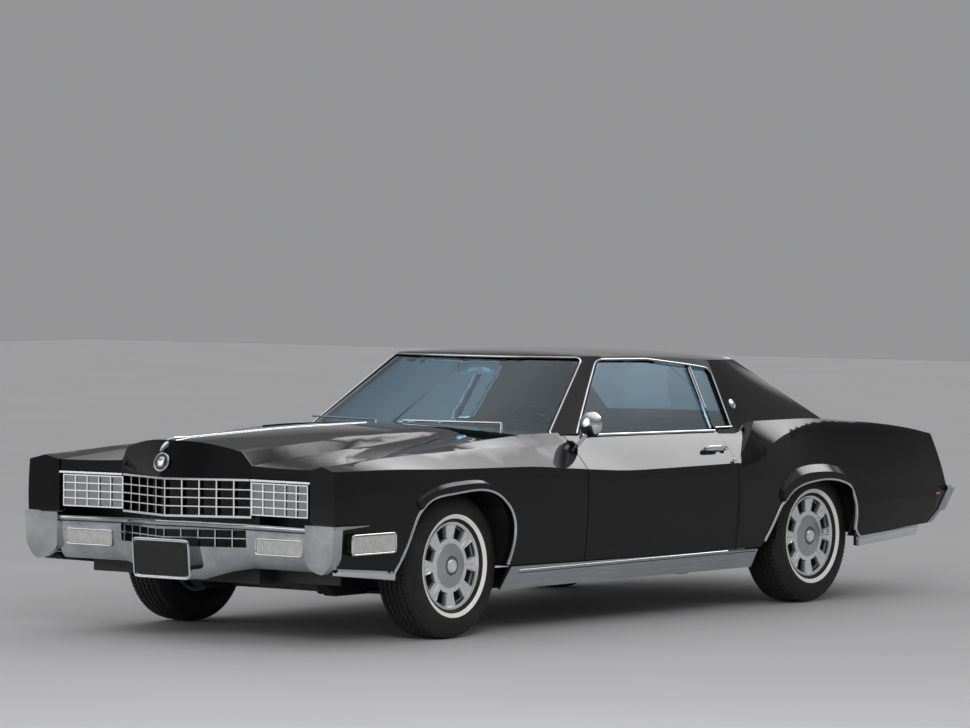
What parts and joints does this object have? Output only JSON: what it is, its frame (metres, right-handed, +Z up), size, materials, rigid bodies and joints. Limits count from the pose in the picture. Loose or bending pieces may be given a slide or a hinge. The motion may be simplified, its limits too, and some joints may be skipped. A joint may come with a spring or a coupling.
{
  "type": "full-size two-door hardtop coupe",
  "caption": "Full-size two-door hardtop luxury coupe with a pointed egg-crate grille, concealed headlamps, slotted wheel covers, opening doors, hood and trunk, and steerable front wheels",
  "frame": {"origin": "on the ground below the centre of the car's box", "axes": "+X to the car's left, +Y rearward along the car's length, +Z up"},
  "size_m": [2.034, 5.5871, 1.3559],
  "materials": {
    "paint": "deep gloss black lacquer",
    "satin_black": "satin black chassis paint",
    "glass_tint": "blue-green tinted safety glass",
    "chrome": "bright chrome plate",
    "bright_panel": "brushed bright aluminium",
    "lamp_lens": "clear fluted lens",
    "red_lens": "red ribbed lens",
    "cast_iron": "painted castings and forgings",
    "leather": "black grained leather",
    "trim": "grained black trim",
    "tyre": "black rubber with a thin white ring",
    "wheel": "bright slotted wheel cover"
  },
  "bodies": {
    "body_shell": {"body_mouldings": "chrome", "cabin_mirror": "chrome", "control_arms": "cast_iron", "cowl_panel": "paint", "dashboard": "trim", "deck_panel": "paint", "drive_shafts": "cast_iron", "engine_block": "cast_iron", "exhaust": "cast_iron", "floor_pan": "satin_black", "front_bumper": "chrome", "front_fender_left": "paint", "front_fender_right": "paint", "front_lamps": "lamp_lens", "front_seat": "leather", "fuel_tank": "satin_black", "grille": "chrome", "headlamps": "satin_black", "leaf_springs": "cast_iron", "lower_grille": "chrome", "perimeter_frame": "satin_black", "quarter_glass_left": "glass_tint", "quarter_glass_right": "glass_tint", "quarter_panel_left": "paint", "quarter_panel_right": "paint", "radiator": "satin_black", "rear_axle": "cast_iron", "rear_bumper": "chrome", "rear_seat": "leather", "rear_window": "glass_tint", "rocker_left": "bright_panel", "rocker_right": "bright_panel", "roof_panel": "paint", "steering_column": "trim", "tail_lamps": "red_lens", "tail_panel": "satin_black", "wheelhouses": "satin_black", "windshield": "glass_tint", "wipers": "chrome"},
    "door_left": {"door_left": "paint", "door_glass_left": "glass_tint", "door_mirror": "chrome"},
    "door_right": {"door_right": "paint", "door_glass_right": "glass_tint"},
    "hood": {"hood": "paint"},
    "trunk_lid": {"trunk_lid": "paint"},
    "headlamp_door_left": {"headlamp_door_left": "bright_panel"},
    "headlamp_door_right": {"headlamp_door_right": "bright_panel"},
    "knuckle_left": {"knuckle_left": "cast_iron"},
    "knuckle_right": {"knuckle_right": "cast_iron"},
    "steering_wheel": {"steering_wheel": "trim"},
    "road_wheel_front_left": {"tyre_front_left": "tyre", "wheel_front_left": "wheel"},
    "road_wheel_front_right": {"tyre_front_right": "tyre", "wheel_front_right": "wheel"},
    "road_wheel_rear_left": {"tyre_rear_left": "tyre", "wheel_rear_left": "wheel"},
    "road_wheel_rear_right": {"tyre_rear_right": "tyre", "wheel_rear_right": "wheel"}
  },
  "joints": [
    {"name": "door_left_hinge", "type": "hinge", "parent": "body_shell", "child": "door_left", "pos_m": [1, -0.6545, 0.645], "axis": [0, 0, -1], "range_deg": [0, 65]},
    {"name": "door_right_hinge", "type": "hinge", "parent": "body_shell", "child": "door_right", "pos_m": [-1, -0.6545, 0.645], "axis": [0, 0, 1], "range_deg": [0, 65]},
    {"name": "hood_hinge", "type": "hinge", "parent": "body_shell", "child": "hood", "pos_m": [0, -1.0575, 1.002], "axis": [-1, 0, 0], "range_deg": [0, 50]},
    {"name": "trunk_hinge", "type": "hinge", "parent": "body_shell", "child": "trunk_lid", "pos_m": [0, 1.9185, 0.955], "axis": [1, 0, 0], "range_deg": [0, 60]},
    {"name": "lamp_door_left_hinge", "type": "hinge", "parent": "body_shell", "child": "headlamp_door_left", "pos_m": [0.60173, -2.47073, 0.696], "axis": [0.9979, -0.0646, 0], "range_deg": [0, 90]},
    {"name": "lamp_door_right_hinge", "type": "hinge", "parent": "body_shell", "child": "headlamp_door_right", "pos_m": [-0.60173, -2.47073, 0.696], "axis": [0.9979, 0.0646, 0], "range_deg": [0, 90]},
    {"name": "steer_left", "type": "hinge", "parent": "body_shell", "child": "knuckle_left", "pos_m": [0.7165, -1.6635, 0.353], "axis": [0, 0, 1], "range_deg": [-33, 33]},
    {"name": "steer_right", "type": "hinge", "parent": "body_shell", "child": "knuckle_right", "pos_m": [-0.7165, -1.6635, 0.353], "axis": [0, 0, 1], "range_deg": [-33, 33]},
    {"name": "steering_wheel_turn", "type": "hinge", "parent": "body_shell", "child": "steering_wheel", "pos_m": [0.372, -0.2685, 0.905], "axis": [0, 0.9135, 0.4067], "range_deg": [-528, 528]},
    {"name": "spin_front_left", "type": "hinge", "parent": "knuckle_left", "child": "road_wheel_front_left", "pos_m": [0.8065, -1.6635, 0.353], "axis": [1, 0, 0], "continuous": true},
    {"name": "spin_front_right", "type": "hinge", "parent": "knuckle_right", "child": "road_wheel_front_right", "pos_m": [-0.8065, -1.6635, 0.353], "axis": [1, 0, 0], "continuous": true},
    {"name": "spin_rear_left", "type": "hinge", "parent": "body_shell", "child": "road_wheel_rear_left", "pos_m": [0.8, 1.3845, 0.353], "axis": [1, 0, 0], "continuous": true},
    {"name": "spin_rear_right", "type": "hinge", "parent": "body_shell", "child": "road_wheel_rear_right", "pos_m": [-0.8, 1.3845, 0.353], "axis": [1, 0, 0], "continuous": true}
  ],
  "couplings": [
    {"joint": "lamp_door_right_hinge", "follows": "lamp_door_left_hinge", "ratio": 1},
    {"joint": "steer_right", "follows": "steer_left", "ratio": 1},
    {"joint": "steering_wheel_turn", "follows": "steer_left", "ratio": 16}
  ]
}
